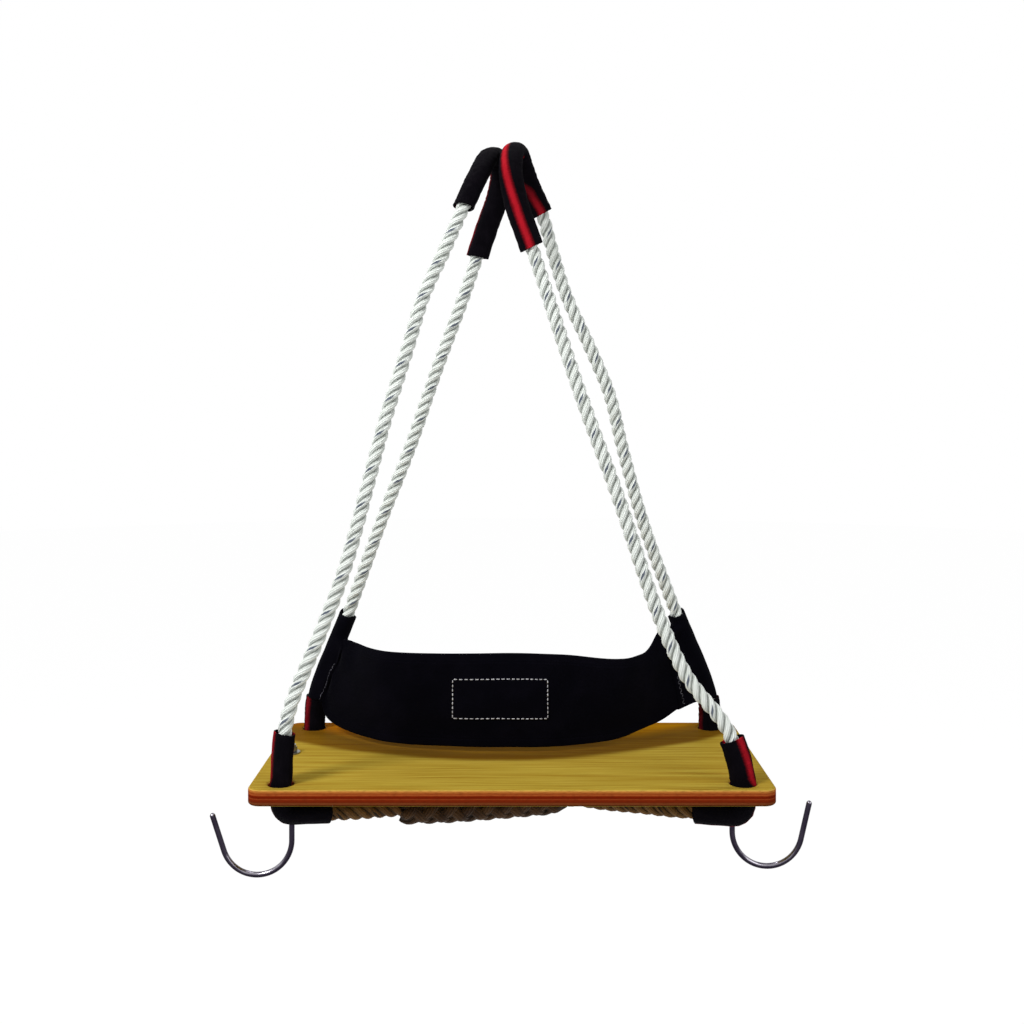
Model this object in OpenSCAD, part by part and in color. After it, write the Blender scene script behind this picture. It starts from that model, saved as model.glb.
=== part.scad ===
// Bosun's chair: a plywood seat hung in a rope bridle, with a back strap and two bucket hooks.
// The origin is the point that the two rope bights hang from, +Y points to the sitter's back, +Z up.

/* [Seat board] */
// Width of the board, from side to side
seat_w = 555; // [480:5:640]
// Depth of the board, from front to back
seat_d = 250; // [220:5:300]
// Thickness of the plywood
seat_t = 18; // [15:1:24]
// Radius of the board's corners in plan
seat_corner_r = 14; // [12:1:40]
// Radius of the rounded edges, top and bottom
seat_edge_r = 3; // [1:0.5:5]
// Distance of the rope holes from the board's ends
hole_inset_x = 33; // [22:1:40]
// Distance of the rope holes from the front and back edges
hole_inset_y = 22; // [20:1:40]
// Room between a chafe sleeve and its rope hole, all round
hole_clearance = 0.6; // [0.3:0.1:2]
// Radius of the rope holes' rounded rims
hole_rim_r = 3; // [1:0.5:5]

/* [Rope bridle] */
// Height of the hanging point above the seat
bridle_drop = 676; // [600:2:800]
// Diameter of the rope
rope_d = 16; // [12:0.5:17]
// Radius of the rope's bend below each hole
bend_r = 14; // [13:1:20]
// Depth of the rope below the board where its stretches meet, at the left
run_depth_left = 24; // [18:0.5:28]
// Depth of the rope below the board where its stretches meet, at the right
run_depth_right = 21; // [18:0.5:28]
// Straight stretch of rope between the board and its bends
bend_drop = 3; // [1:0.5:8]
// Diameter of the short splice
splice_d = 28; // [22:0.5:29]
// Length of the short splice
splice_len = 220; // [160:5:240]
// Distance of the splice from the front left hole, along the rope
splice_start = 130; // [120:1:150]

/* [Chafe sleeves] */
// Width of a sleeve across the flat of its webbing
sleeve_w = 26; // [24:0.5:32]
// Thickness of a sleeve across its edges
sleeve_h = 21; // [20:0.5:26]
// Thickness of the webbing
sleeve_wall = 1.6; // [1:0.1:1.9]
// Reach of the hole sleeves under the board, from the middle of the hole
sleeve_reach = 52; // [30:1:65]
// Height of the front left sleeve above the seat
sleeve_top_front_left = 53; // [20:1:90]
// Height of the front right sleeve above the seat
sleeve_top_front_right = 46; // [20:1:90]
// Height of the rear sleeves above the seat
sleeve_top_rear = 38; // [20:1:60]
// Drop of each bight sleeve's higher end below the hanging point
bight_sleeve_short = 53; // [30:1:90]
// Drop of each bight sleeve's lower end below the hanging point
bight_sleeve_long = 101; // [60:1:140]

/* [Back strap] */
// Thickness of the strap, two layers of canvas
strap_t = 4; // [2:0.5:8]
// Wall of the pockets round the rear legs
pocket_wall = 2.2; // [1:0.1:4]
// Length of the pockets along the rear legs
pocket_len = 104; // [80:1:140]
// Gap between a rear sleeve and the pocket above it
pocket_gap = 0.5; // [0.3:0.1:5]
// Width of the label patch
patch_w = 113; // [60:1:150]
// Height of the label patch
patch_h = 45; // [20:1:70]
// Thickness of the label patch
patch_t = 1.2; // [0.6:0.1:3]

/* [Bucket hooks] */
// Diameter of the hook's rod
rod_d = 6.4; // [5:0.2:10]
// Distance of the hooks' shanks from the board's ends
hook_inset = 24.5; // [16:0.5:40]
// Radius of the hook's bend, at the middle of the rod
hook_r = 40; // [30:1:60]
// Depth of the left hook's bend below the board
hook_drop_left = 122; // [105:1:160]
// Depth of the right hook's bend below the board
hook_drop_right = 112; // [105:1:160]
// Lean of the left hook's free leg, in degrees
hook_lean_left = 18; // [5:1:30]
// Lean of the right hook's free leg, in degrees
hook_lean_right = 13; // [5:1:30]
// Length of a hook's free leg
hook_leg = 42; // [20:1:44]
// Room between a shank and its hole in the board
shank_clearance = 0.3; // [0.1:0.1:1]
// Width of the nuts across their flats
nut_af = 11; // [9.5:0.5:18]
// Height of the nuts' hexagons
nut_h = 5.4; // [4:0.1:9]
// Height of the lock nuts' collars
collar_h = 2.6; // [1:0.1:4]
// Diameter of the washers
washer_d = 19; // [14:0.5:26]
// Thickness of the washers
washer_t = 1.6; // [1:0.1:3]
// Room between a nut and its thread
thread_clearance = 0.1; // [0.05:0.01:0.3]
// Room between a nut and its washer, so that the hook turns
swivel_gap = 0.2; // [0.1:0.05:0.6]
// Length of thread that stands above the lock nut
thread_over = 3; // [1:0.5:10]

/* [Hidden] */
$fn = 64;

seat_top = -bridle_drop;
seat_under = seat_top - seat_t;
hole_x = seat_w / 2 - hole_inset_x;
hole_y = seat_d / 2 - hole_inset_y;
hole_r = sleeve_w / 2 + hole_clearance;
hook_x = seat_w / 2 - hook_inset;
rope_r = rope_d / 2;

// Round count of the swept tubes, and the longest step between two of their rings
tube_sides = 12;
ring_step = 80;

// The rope leaves each bend after this turn, and its stretches meet at this distance from the hole
bend_turn = 80;
run_stub = 70;
// Straight first step of each stretch, so that its end lies flat on the end of the next one
butt_step = 8;
// Rise of the rope over the splice's middle line where it enters the splice
splice_lift = 4;
// Point on the way from the splice to the rear right hole: its distance from the hole and its depth
tail_point = [115, 31];

// Route of each leg above the seat: x, y and height over the seat
front_left_leg = [[-238, -101, 70], [-205, -89, 157], [-181, -81, 222], [-139, -60, 384],
    [-114.5, -49, 466], [-98, -42, 522], [-75.5, -35, 573]];
rear_left_leg = [[-240, 99, 44], [-201.5, 86, 141], [-158, 73, 260], [-122, 66, 351], [-90.5, 57, 441],
    [-57, 48, 530]];
front_right_leg = [[229, -101, 55], [187, -96, 110], [158.5, -91, 171], [114, -78, 303], [75, -67, 411],
    [23, -45, 572]];
rear_right_leg = [[242, 100, 42], [199, 87, 149], [158, 74, 260], [132, 62, 351], [117, 55, 411],
    [91.5, 48, 471], [64, 41, 530], [44, 33, 594]];

// Route of each bight from its front leg to its rear leg: x, y and height over the hanging point
left_bight = [[-54.5, -24, -52], [-38.5, -16, -16], [-26, 2, 9], [-15.5, 18, 10], [-12.5, 30, -6],
    [-17.5, 37, -32], [-29.5, 41, -66]];
right_bight = [[5, -40, -52], [-1.5, -33, -15], [0.5, -18.5, 9], [5.5, -4.5, 13], [11.5, 9, -1], [21, 18.5, -24],
    [37, 26, -58]];

// Depth of the plain run below the board, at distances along it from the front right hole
plain_run = [[112, 22.5], [165, 24.5], [270, 18.5], [390, 23]];

// Depth of the splice's middle line below the board, as shares of the splice's length
splice_run = [[0, 32], [0.3, 38], [0.62, 43], [0.85, 47], [1, 46]];

// Lower edge of the strap from left to right: x, y and height over the seat, between its pockets
strap_low = [[-226, 83, 18], [-160, 34, 6], [-72, 6, 6], [0, 2, 6], [62, 7, 6], [127, 31, 8.5],
    [179, 72, 20.5]];
// Upper edge of the strap at the same places
strap_high = [[-188, 66, 112], [-150, 24, 111], [-72, 8, 112], [0, 5, 113], [62, 10, 110], [128, 33, 101.5],
    [168, 63, 112]];
// Heights over the seat where the strap is sewn to its pockets
strap_foot = 42;
strap_head_left = 114;
strap_head_right = 131;
// Middle of the label patch: along the strap, as a share of its length, and height over the seat
patch_at = 0.48;
patch_mid = 62;
// Steps along the strap and up its height
strap_steps = 28;
strap_rows = 6;
// Swell of the strap's middle height to the front
strap_belly = 5;
// Room between pieces that are sewn or lie on each other
lay_gap = 0.3;
// Room between the strap's ends and its pockets
sewn_gap = 0.6;
// Lap of a hook's straight lengths into its bend, and swelling of the rod there
rod_lap = 0.1;

function unit(v) = v / norm(v);
function lerp(a, b, t) = a + (b - a) * t;
function reverse(p) = [for (i = [len(p) - 1:-1:0]) p[i]];
function from_seat(p) = [for (q = p) q + [0, 0, seat_top]];

// A smooth curve through points, with knots at the square roots of their distances
function mix(a, b, t0, t1, t) = ((t1 - t) * a + (t - t0) * b) / (t1 - t0);
function curve_point(p0, p1, p2, p3, share) =
    let (
        t1 = sqrt(norm(p1 - p0)),
        t2 = t1 + sqrt(norm(p2 - p1)),
        t3 = t2 + sqrt(norm(p3 - p2)),
        t = lerp(t1, t2, share),
        a1 = mix(p0, p1, 0, t1, t),
        a2 = mix(p1, p2, t1, t2, t),
        a3 = mix(p2, p3, t2, t3, t),
        b1 = mix(a1, a2, 0, t2, t),
        b2 = mix(a2, a3, t1, t3, t)
    )
    mix(b1, b2, t1, t2, t);
function before(p, i) = i > 0 ? p[i - 1] : 2 * p[0] - p[1];
function after(p, i) = i < len(p) ? p[i] : 2 * p[len(p) - 1] - p[len(p) - 2];
function curve_at(p, i, share) = curve_point(before(p, i), p[i], p[i + 1], after(p, i + 2), share);
function curve(p) = concat(
    [for (i = [0:len(p) - 2])
        let (n = ceil(norm(p[i + 1] - p[i]) / ring_step))
        for (k = [0:n - 1]) curve_at(p, i, k / n)],
    [p[len(p) - 1]]);

// Rings of a tube along a route: its tangents, normals carried along it, and ovals across it
function tangents(p) = [for (i = [0:len(p) - 1]) unit(p[min(i + 1, len(p) - 1)] - p[max(i - 1, 0)])];
function across(n, t) = unit(n - (n * t) * t);
function carry(t, n, i, step) = i < 0 || i >= len(t) ? [] :
    let (m = across(n, t[i]))
    concat([m], carry(t, m, i + step, step));
function normals(t, n, start) =
    let (back = reverse(carry(t, n, start, -1)), on = carry(t, n, start, 1))
    [for (i = [0:len(t) - 1]) i < start ? back[i] : on[i - start]];
function oval(c, t, n, a, b) =
    let (w = cross(n, t))
    [for (k = [0:tube_sides - 1]) c + a * cos(360 * k / tube_sides) * n + b * sin(360 * k / tube_sides) * w];
function rings(p, n, start, a, b) =
    let (t = tangents(p), m = normals(t, n, start))
    [for (i = [0:len(p) - 1]) oval(p[i], t[i], m[i], a, b)];

// Part of a row of rings or points, from one place to another, in steps of the row
function at(r, s) = let (i = min(floor(s), len(r) - 2)) lerp(r[i], r[i + 1], s - i);
function part_of(r, s0, s1) = concat([at(r, s0)], [for (i = [floor(s0) + 1:ceil(s1) - 1]) r[i]], [at(r, s1)]);
function place_up(p, z, i = 0) = p[i].z < z && p[i + 1].z >= z ?
    i + (z - p[i].z) / (p[i + 1].z - p[i].z) : place_up(p, z, i + 1);
function place_down(p, z) = len(p) - 1 - place_up(reverse(p), z);

// Skin over a row of rings, with flat ends, or joined back to the first ring
module skin(r, closed = false) {
    n = len(r[0]);
    last = len(r) - 1;
    rows = closed ? last : last - 1;
    sides = [for (i = [0:rows]) for (k = [0:n - 1])
        let (a = i * n, b = (i + 1) % len(r) * n, j = (k + 1) % n)
        each [[a + k, a + j, b + j], [a + k, b + j, b + k]]];
    caps = closed ? [] : [[for (k = [n - 1:-1:0]) k], [for (k = [0:n - 1]) last * n + k]];
    polyhedron([for (q = r) each q], concat(sides, caps), convexity = 6);
}

// Routes of the rope. Each side runs from under its front hole, over its bight and under its rear hole.
function hole(x, y) = [x * hole_x, y * hole_y, 0];
function run_way(x, y) = unit(hole(-x, -y) - hole(x, y));
function run_point(x, y, far, depth) = hole(x, y) + run_way(x, y) * far + [0, 0, seat_under - depth];
function bend_far(a) = bend_r * (1 - cos(a));
function bend_depth(a) = bend_drop + bend_r * sin(a);
function run_fall(x) = ((x < 0 ? run_depth_left : run_depth_right) - bend_depth(bend_turn))
    / (run_stub - bend_far(bend_turn));
function run_on(x, y, far) =
    run_point(x, y, far, bend_depth(bend_turn) + (far - bend_far(bend_turn)) * run_fall(x));
function bend(x, y) = concat(
    [run_on(x, y, run_stub)],
    [for (k = [4:-1:1]) run_point(x, y, bend_far(bend_turn * k / 4), bend_depth(bend_turn * k / 4))]);
function hole_line(x, y) = [run_point(x, y, 0, bend_drop), hole(x, y) + [0, 0, seat_top + bend_drop]];
function side_route(x, front_leg, bight, rear_leg) = concat(
    bend(x, -1),
    curve(concat(
        hole_line(x, -1), from_seat(front_leg), bight,
        reverse(from_seat(rear_leg)), reverse(hole_line(x, 1)))),
    reverse(bend(x, 1)));
left_route = side_route(-1, front_left_leg, left_bight, rear_left_leg);
right_route = side_route(1, front_right_leg, right_bight, rear_right_leg);
function run_end(x, y) = [for (far = [run_stub, run_stub + butt_step]) run_on(x, y, far)];
under_route = curve(concat(
    run_end(1, -1),
    [for (q = plain_run) run_point(1, -1, q[0], q[1])],
    reverse(run_end(-1, 1))));
splice_route = [for (q = splice_run) run_point(-1, -1, splice_start + q[0] * splice_len, q[1])];
splice_ways = tangents(splice_route);
splice_last = len(splice_route) - 1;
lead_end = splice_route[0] + splice_lift * across([0, 0, 1], splice_ways[0]);
splice_lead = curve(concat(run_end(-1, -1), [lead_end - butt_step * splice_ways[0], lead_end]));
splice_tail = curve(concat(
    [splice_route[splice_last], splice_route[splice_last] + butt_step * splice_ways[splice_last]],
    [run_point(1, 1, tail_point[0], tail_point[1])],
    reverse(run_end(1, 1))));

// The webbing lies flat across each bight, so its wide side faces along this level line there
bight_axis = unit([0.915, -0.4, 0]);
function side_rings(p, a, b) = rings(p, bight_axis, floor(len(p) / 2), a, b);
function run_rings(p, d) = rings(p, [0, 0, 1], 0, d / 2, d / 2);

// A sleeve's outer and inner walls, from one place on a route to another
module sleeve(p, s0, s1) {
    outer = part_of(side_rings(p, sleeve_w / 2, sleeve_h / 2), s0, s1);
    inner = part_of(side_rings(p, sleeve_w / 2 - sleeve_wall, sleeve_h / 2 - sleeve_wall), s0, s1);
    color([0.06, 0.06, 0.08]) skin(concat(outer, reverse(inner)), true);
}

// Place on a route's first or last stretch where a hole sleeve ends under the board
sleeve_end = (run_stub - sleeve_reach) / (run_stub - bend_far(bend_turn));

module front_sleeve(p, top) {
    sleeve(p, sleeve_end, place_up(p, seat_top + top));
}

module rear_sleeve(p) {
    sleeve(p, place_down(p, seat_top + sleeve_top_rear), len(p) - 1 - sleeve_end);
}

// Slab with a rounded rim: the rim's outline, the corners turned from it and the sides pushed through
module rim_outline(half) {
    square([half - seat_edge_r, seat_t]);
    translate([0, seat_edge_r]) square([half, seat_t - 2 * seat_edge_r]);
    for (z = [seat_edge_r, seat_t - seat_edge_r]) translate([half - seat_edge_r, z]) circle(seat_edge_r);
}

module slab_outline(half) {
    rim_outline(half);
    mirror([1, 0]) rim_outline(half);
}

module seat_slab() {
    corner_x = seat_w / 2 - seat_corner_r;
    corner_y = seat_d / 2 - seat_corner_r;
    for (x = [-corner_x, corner_x], y = [-corner_y, corner_y])
        translate([x, y, 0]) rotate_extrude() intersection() {
            rim_outline(seat_corner_r);
            square([seat_corner_r, seat_t]);
        }
    translate([-corner_x, 0, 0]) rotate([90, 0, 90]) linear_extrude(2 * corner_x) slab_outline(seat_d / 2);
    translate([0, corner_y, 0]) rotate([90, 0, 0]) linear_extrude(2 * corner_y) slab_outline(seat_w / 2);
}

// Hole through the board whose two rims are rounded
module rope_hole() {
    translate([0, 0, -1]) cylinder(r = hole_r, h = seat_t + 2);
    for (z = [0, 1])
        translate([0, 0, z * seat_t]) mirror([0, 0, z]) rotate_extrude() difference() {
            square([hole_r + hole_rim_r, hole_rim_r]);
            translate([hole_r + hole_rim_r, hole_rim_r]) circle(hole_rim_r);
        }
}

module seat_board() {
    color([0.72, 0.52, 0.25]) translate([0, 0, seat_under]) difference() {
        seat_slab();
        for (x = [-1, 1], y = [-1, 1]) translate(hole(x, y)) rope_hole();
        for (x = [-1, 1])
            translate([x * hook_x, 0, -1]) cylinder(d = rod_d + 2 * shank_clearance, h = seat_t + 2);
    }
}

module rope(r) {
    color([0.82, 0.84, 0.78]) skin(r);
}

module rope_left() {
    rope(side_rings(left_route, rope_r, rope_r));
}

module rope_right() {
    rope(side_rings(right_route, rope_r, rope_r));
}

module rope_under() {
    rope(run_rings(under_route, rope_d));
}

module rope_under_spliced() {
    rope(run_rings(splice_lead, rope_d));
    rope(run_rings(splice_tail, rope_d));
}

// The splice is full from its front end and tapers at its rear end, where the strands run out
module rope_splice() {
    taper = [0.92, 1, 1, 0.9, 0.66];
    n = normals(splice_ways, [0, 0, 1], 0);
    rope([for (i = [0:splice_last])
        oval(splice_route[i], splice_ways[i], n[i], taper[i] * splice_d / 2, taper[i] * splice_d / 2)]);
}

module bight_sleeve_left() {
    p = left_route;
    sleeve(p, place_up(p, -bight_sleeve_short), place_down(p, -bight_sleeve_long));
}

module bight_sleeve_right() {
    p = right_route;
    sleeve(p, place_up(p, -bight_sleeve_long), place_down(p, -bight_sleeve_short));
}

module hole_sleeve_front_left() {
    front_sleeve(left_route, sleeve_top_front_left);
}

module hole_sleeve_front_right() {
    front_sleeve(right_route, sleeve_top_front_right);
}

module hole_sleeve_rear_left() {
    rear_sleeve(left_route);
}

module hole_sleeve_rear_right() {
    rear_sleeve(right_route);
}

// Pockets of the strap: snug tubes round the rear legs, above the rear sleeves
pocket_in = rope_r / cos(180 / tube_sides) + lay_gap;
pocket_out = pocket_in + pocket_wall;
pocket_foot = sleeve_top_rear + pocket_gap;

module strap_pocket(p) {
    s0 = place_down(p, seat_top + pocket_foot + pocket_len);
    s1 = place_down(p, seat_top + pocket_foot);
    outer = part_of(side_rings(p, pocket_out, pocket_out), s0, s1);
    inner = part_of(side_rings(p, pocket_in, pocket_in), s0, s1);
    color([0.07, 0.07, 0.09]) skin(concat(outer, reverse(inner)), true);
}

module strap_pocket_left() {
    strap_pocket(left_route);
}

module strap_pocket_right() {
    strap_pocket(right_route);
}

// The strap's edges run from pocket to pocket. A strap end lies against its pocket, towards the next point.
function strap_end(p, height, next) =
    let (
        s = place_down(p, seat_top + height),
        c = at(p, s),
        leg = unit(p[floor(s) + 1] - p[floor(s)]),
        way = next + [0, 0, seat_top] - c,
        out = unit([way.x, way.y, 0])
    )
    c + out * (pocket_out + sewn_gap) / norm(cross(out, leg));
function strap_edge(p, head_left, head_right) = concat(
    [strap_end(left_route, head_left, p[0])],
    from_seat(p),
    [strap_end(right_route, head_right, p[len(p) - 1])]);
low_edge = strap_edge(strap_low, strap_foot, strap_foot);
high_edge = strap_edge(strap_high, strap_head_left, strap_head_right);

// Share of the strap's length over which its slope is taken
nearby = 0.002;

// A point of the strap's middle surface: share of the way along it and up it
function along(p, share) =
    let (s = share * (len(p) - 1), i = min(floor(s), len(p) - 2))
    curve_at(p, i, s - i);
function strap_at(u, v) = lerp(along(low_edge, u), along(high_edge, u), v)
    - [0, strap_belly * sin(180 * u) * sin(180 * v), 0];
function strap_front(u, v) =
    let (
        du = strap_at(min(u + nearby, 1), v) - strap_at(max(u - nearby, 0), v),
        dv = strap_at(u, 1) - strap_at(u, 0)
    )
    unit(cross(du, dv));
function strap_face(u, v, off) = strap_at(u, v) + strap_front(u, v) * off;

// A sheet on the strap: a ring of points at each step, up its front and down its back
module strap_sheet(u0, u1, v0, v1, front, back, steps, rows) {
    skin([for (i = [0:steps])
        let (u = lerp(u0, u1, i / steps))
        concat(
            [for (k = [0:rows]) strap_face(u, lerp(v0, v1, k / rows), front)],
            [for (k = [rows:-1:0]) strap_face(u, lerp(v0, v1, k / rows), back)])]);
}

module back_strap() {
    color([0.05, 0.05, 0.07]) strap_sheet(0, 1, 0, 1, strap_t / 2, -strap_t / 2, strap_steps, strap_rows);
}

// The patch is cut from the strap's own steps, so that it lies on the strap's faces
module label_patch() {
    strap_long = norm(along(low_edge, 0.75) - along(low_edge, 0.25)) * 2;
    strap_tall = along(high_edge, patch_at).z - along(low_edge, patch_at).z;
    half_u = patch_w / strap_long / 2;
    half_v = patch_h / strap_tall / 2;
    v = (seat_top + patch_mid - along(low_edge, patch_at).z) / strap_tall;
    face = strap_t / 2 + lay_gap;
    color([0.1, 0.1, 0.12])
        strap_sheet(patch_at - half_u, patch_at + half_u, v - half_v, v + half_v, face + patch_t, face, 8, 4);
}

// Rod from the XY plane up, and one whose far end is rounded. Each starts a little below, inside its knuckle.
module rod(len) {
    translate([0, 0, -rod_lap]) cylinder(d = rod_d, h = len + rod_lap);
}

module rod_with_tip(len) {
    rotate_extrude() {
        translate([0, -rod_lap]) square([rod_d / 2, len + rod_lap]);
        intersection() {
            translate([0, len]) circle(d = rod_d);
            square([rod_d, len + rod_d]);
        }
    }
}

// Faint swelling of the rod where its bend starts and ends
module knuckle() {
    sphere(d = rod_d + rod_lap);
}

// Bucket hook: shank, round bend and leaning free leg, with its shank on the Z axis and its leg to +X
module hook(drop, lean) {
    shank_top = seat_t + washer_t + swivel_gap + nut_h + collar_h + thread_over;
    translate([0, 0, hook_r - drop]) {
        rod(shank_top + drop - hook_r);
        knuckle();
        translate([hook_r, 0, 0]) {
            rotate([90, 0, 0]) rotate([0, 0, 180]) rotate_extrude(angle = 180 - lean)
                translate([hook_r, 0]) circle(d = rod_d);
            translate([hook_r * cos(lean), 0, -hook_r * sin(lean)]) rotate([0, lean, 0]) {
                rod_with_tip(hook_leg);
                knuckle();
            }
        }
    }
}

module hook_side(x, drop, lean) {
    color([0.35, 0.34, 0.38])
        translate([x * hook_x, 0, seat_under]) rotate([0, 0, 90 - x * 90]) hook(drop, lean);
}

module hook_left() {
    hook_side(-1, hook_drop_left, hook_lean_left);
}

module hook_right() {
    hook_side(1, hook_drop_right, hook_lean_right);
}

// Hexagon nut whose corners are turned off, with a bore that its thread passes through
module nut(collar) {
    corner_r = nut_af / sqrt(3);
    turned = corner_r - nut_af / 2;
    difference() {
        union() {
            intersection() {
                cylinder(r = corner_r, h = nut_h, $fn = 6);
                rotate_extrude() polygon([[0, 0], [nut_af / 2, 0], [corner_r, turned * 0.6],
                    [corner_r, nut_h - turned * 0.6], [nut_af / 2, nut_h], [0, nut_h]]);
            }
            if (collar > 0) translate([0, 0, nut_h]) cylinder(d = nut_af * 0.88, h = collar);
        }
        translate([0, 0, -1]) cylinder(d = rod_d + 2 * thread_clearance, h = nut_h + collar + 2);
    }
}

module washer() {
    difference() {
        cylinder(d = washer_d, h = washer_t);
        translate([0, 0, -1]) cylinder(d = rod_d + 2 * shank_clearance, h = washer_t + 2);
    }
}

module on_shank(x, z, shade) {
    color(shade) translate([x * hook_x, 0, z]) children();
}

nut_shade = [0.66, 0.66, 0.68];
lock_nut_z = seat_top + washer_t + swivel_gap;
jam_nut_z = seat_under - washer_t - swivel_gap - nut_h;

module lock_nut_left() {
    on_shank(-1, lock_nut_z, nut_shade) nut(collar_h);
}

module lock_nut_right() {
    on_shank(1, lock_nut_z, nut_shade) rotate([0, 0, 20]) nut(collar_h);
}

module jam_nut_left() {
    on_shank(-1, jam_nut_z, nut_shade) nut(0);
}

module jam_nut_right() {
    on_shank(1, jam_nut_z, nut_shade) nut(0);
}

module top_washer_left() {
    on_shank(-1, seat_top, nut_shade) washer();
}

module top_washer_right() {
    on_shank(1, seat_top, nut_shade) washer();
}

module under_washer_left() {
    on_shank(-1, seat_under - washer_t, nut_shade) washer();
}

module under_washer_right() {
    on_shank(1, seat_under - washer_t, nut_shade) washer();
}

seat_board();
rope_left();
rope_right();
rope_under();
rope_under_spliced();
rope_splice();
bight_sleeve_left();
bight_sleeve_right();
hole_sleeve_front_left();
hole_sleeve_front_right();
hole_sleeve_rear_left();
hole_sleeve_rear_right();
back_strap();
strap_pocket_left();
strap_pocket_right();
label_patch();
hook_left();
hook_right();
lock_nut_left();
lock_nut_right();
jam_nut_left();
jam_nut_right();
top_washer_left();
top_washer_right();
under_washer_left();
under_washer_right();
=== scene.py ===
"""Looks of the bosun's chair: laid rope, webbing sleeves, canvas back strap, plywood seat and steel hooks."""
import math
from bisect import bisect_right

import bmesh
import bpy
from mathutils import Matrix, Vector, noise


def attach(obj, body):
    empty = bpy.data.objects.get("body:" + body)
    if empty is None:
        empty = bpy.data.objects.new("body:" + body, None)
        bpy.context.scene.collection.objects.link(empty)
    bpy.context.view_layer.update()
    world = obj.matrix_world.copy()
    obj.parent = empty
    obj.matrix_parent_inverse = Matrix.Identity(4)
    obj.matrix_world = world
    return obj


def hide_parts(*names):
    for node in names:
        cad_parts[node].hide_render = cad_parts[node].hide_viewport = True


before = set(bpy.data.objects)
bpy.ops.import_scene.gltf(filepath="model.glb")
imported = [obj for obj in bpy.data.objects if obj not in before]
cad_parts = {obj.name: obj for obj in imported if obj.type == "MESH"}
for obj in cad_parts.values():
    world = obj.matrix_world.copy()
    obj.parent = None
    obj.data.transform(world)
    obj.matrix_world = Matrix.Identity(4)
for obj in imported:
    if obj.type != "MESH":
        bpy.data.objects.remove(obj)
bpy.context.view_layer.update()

scene = bpy.context.scene
scene.view_settings.view_transform = "Standard"


def add_object(name, data):
    obj = bpy.data.objects.new(name, data)
    scene.collection.objects.link(obj)
    return obj


# The camera stands level in front of the seat, a little under half the bridle's height
camera = bpy.data.cameras.new("camera")
camera.lens = 40.29
camera.sensor_width = 36
camera.shift_y = -.1113
scene.camera = add_object("camera", camera)
scene.camera.location = (0, -1.317, -.2683)
scene.camera.rotation_euler = (math.pi / 2, 0, 0)

# Sizes of the frame that the soft pieces follow, in metres
SEAT_TOP = -.676
SEAT_UNDER = -.694
HOLE_X, HOLE_Y = .2445, .103
BEND_R, BEND_DROP, BEND_TURN = .014, .003, math.radians(80)
RUN_DEPTH_LEFT, RUN_DEPTH_RIGHT = .0234, .021
RUN_STUB, BUTT_STEP = .07, .008
SPLICE_START, SPLICE_LENGTH, SPLICE_R, SPLICE_LIFT = .13, .22, .014, .004
SLEEVE_WIDE, SLEEVE_DEEP, SLEEVE_WALL, SLEEVE_REACH = .013, .0105, .0016, .052
POCKET_IN, POCKET_OUT = .00858, .01078
POCKET_FOOT, POCKET_LENGTH = .0385, .104
SEWN_GAP = .0006

# Routes of the rope as in the solids: x, y and height over the seat, then the bights from the hanging point
FRONT_LEFT_LEG = [(-.238, -.101, .07), (-.205, -.089, .157), (-.181, -.081, .222), (-.139, -.06, .384),
                  (-.1145, -.049, .466), (-.098, -.042, .522), (-.0755, -.035, .573)]
REAR_LEFT_LEG = [(-.24, .099, .044), (-.2015, .086, .141), (-.158, .073, .26), (-.122, .066, .351),
                 (-.0905, .057, .441), (-.057, .048, .53)]
FRONT_RIGHT_LEG = [(.229, -.101, .055), (.187, -.096, .11), (.1585, -.091, .171), (.114, -.078, .303),
                   (.075, -.067, .411), (.023, -.045, .572)]
REAR_RIGHT_LEG = [(.242, .1, .042), (.199, .087, .149), (.158, .074, .26), (.132, .062, .351), (.117, .055, .411),
                  (.0915, .048, .471), (.064, .041, .53), (.044, .033, .594)]
LEFT_BIGHT = [(-.0545, -.024, -.052), (-.0385, -.016, -.016), (-.026, .002, .009), (-.0155, .018, .01),
              (-.0125, .03, -.006), (-.0175, .037, -.032), (-.0295, .041, -.066)]
RIGHT_BIGHT = [(.005, -.04, -.052), (-.0015, -.033, -.015), (.0005, -.0185, .009), (.0055, -.0045, .013),
               (.0115, .009, -.001), (.021, .0185, -.024), (.037, .026, -.058)]
PLAIN_RUN = [(.112, .0225), (.165, .0245), (.27, .0185), (.39, .023)]
SPLICE_RUN = [(0, .032), (.3, .038), (.62, .043), (.85, .047), (1, .046)]
TAIL_POINT = (.115, .031)
STRAP_LOW = [(-.226, .083, .018), (-.16, .034, .006), (-.072, .006, .006), (0, .002, .006), (.062, .007, .006),
             (.127, .031, .0085), (.179, .072, .0205)]
STRAP_HIGH = [(-.188, .066, .112), (-.15, .024, .111), (-.072, .008, .112), (0, .005, .113), (.062, .01, .11),
              (.128, .033, .1015), (.168, .063, .112)]
STRAP_FOOT, STRAP_HEAD_LEFT, STRAP_HEAD_RIGHT = .042, .114, .131
STRAP_BELLY, STRAP_TALL = .005, .106
PATCH_AT, PATCH_MID, PATCH_W, PATCH_H, PATCH_T = .482, .0625, .118, .048, .0012
BIGHT_AXIS = Vector((.915, -.4, 0)).normalized()
UP = Vector((0, 0, 1))
TURN = 2 * math.pi


def clip(value):
    return min(1, max(0, value))


def smooth(value):
    value = clip(value)
    return value * value * (3 - 2 * value)


def bell(value, middle, width):
    return math.exp(-((value - middle) / width) ** 2)


def circle(count):
    angles = [TURN * k / count for k in range(count)]
    return [(math.cos(angle), math.sin(angle)) for angle in angles]


def uneven(x, y, z):
    return noise.noise(Vector((x, y, z)))


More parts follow.
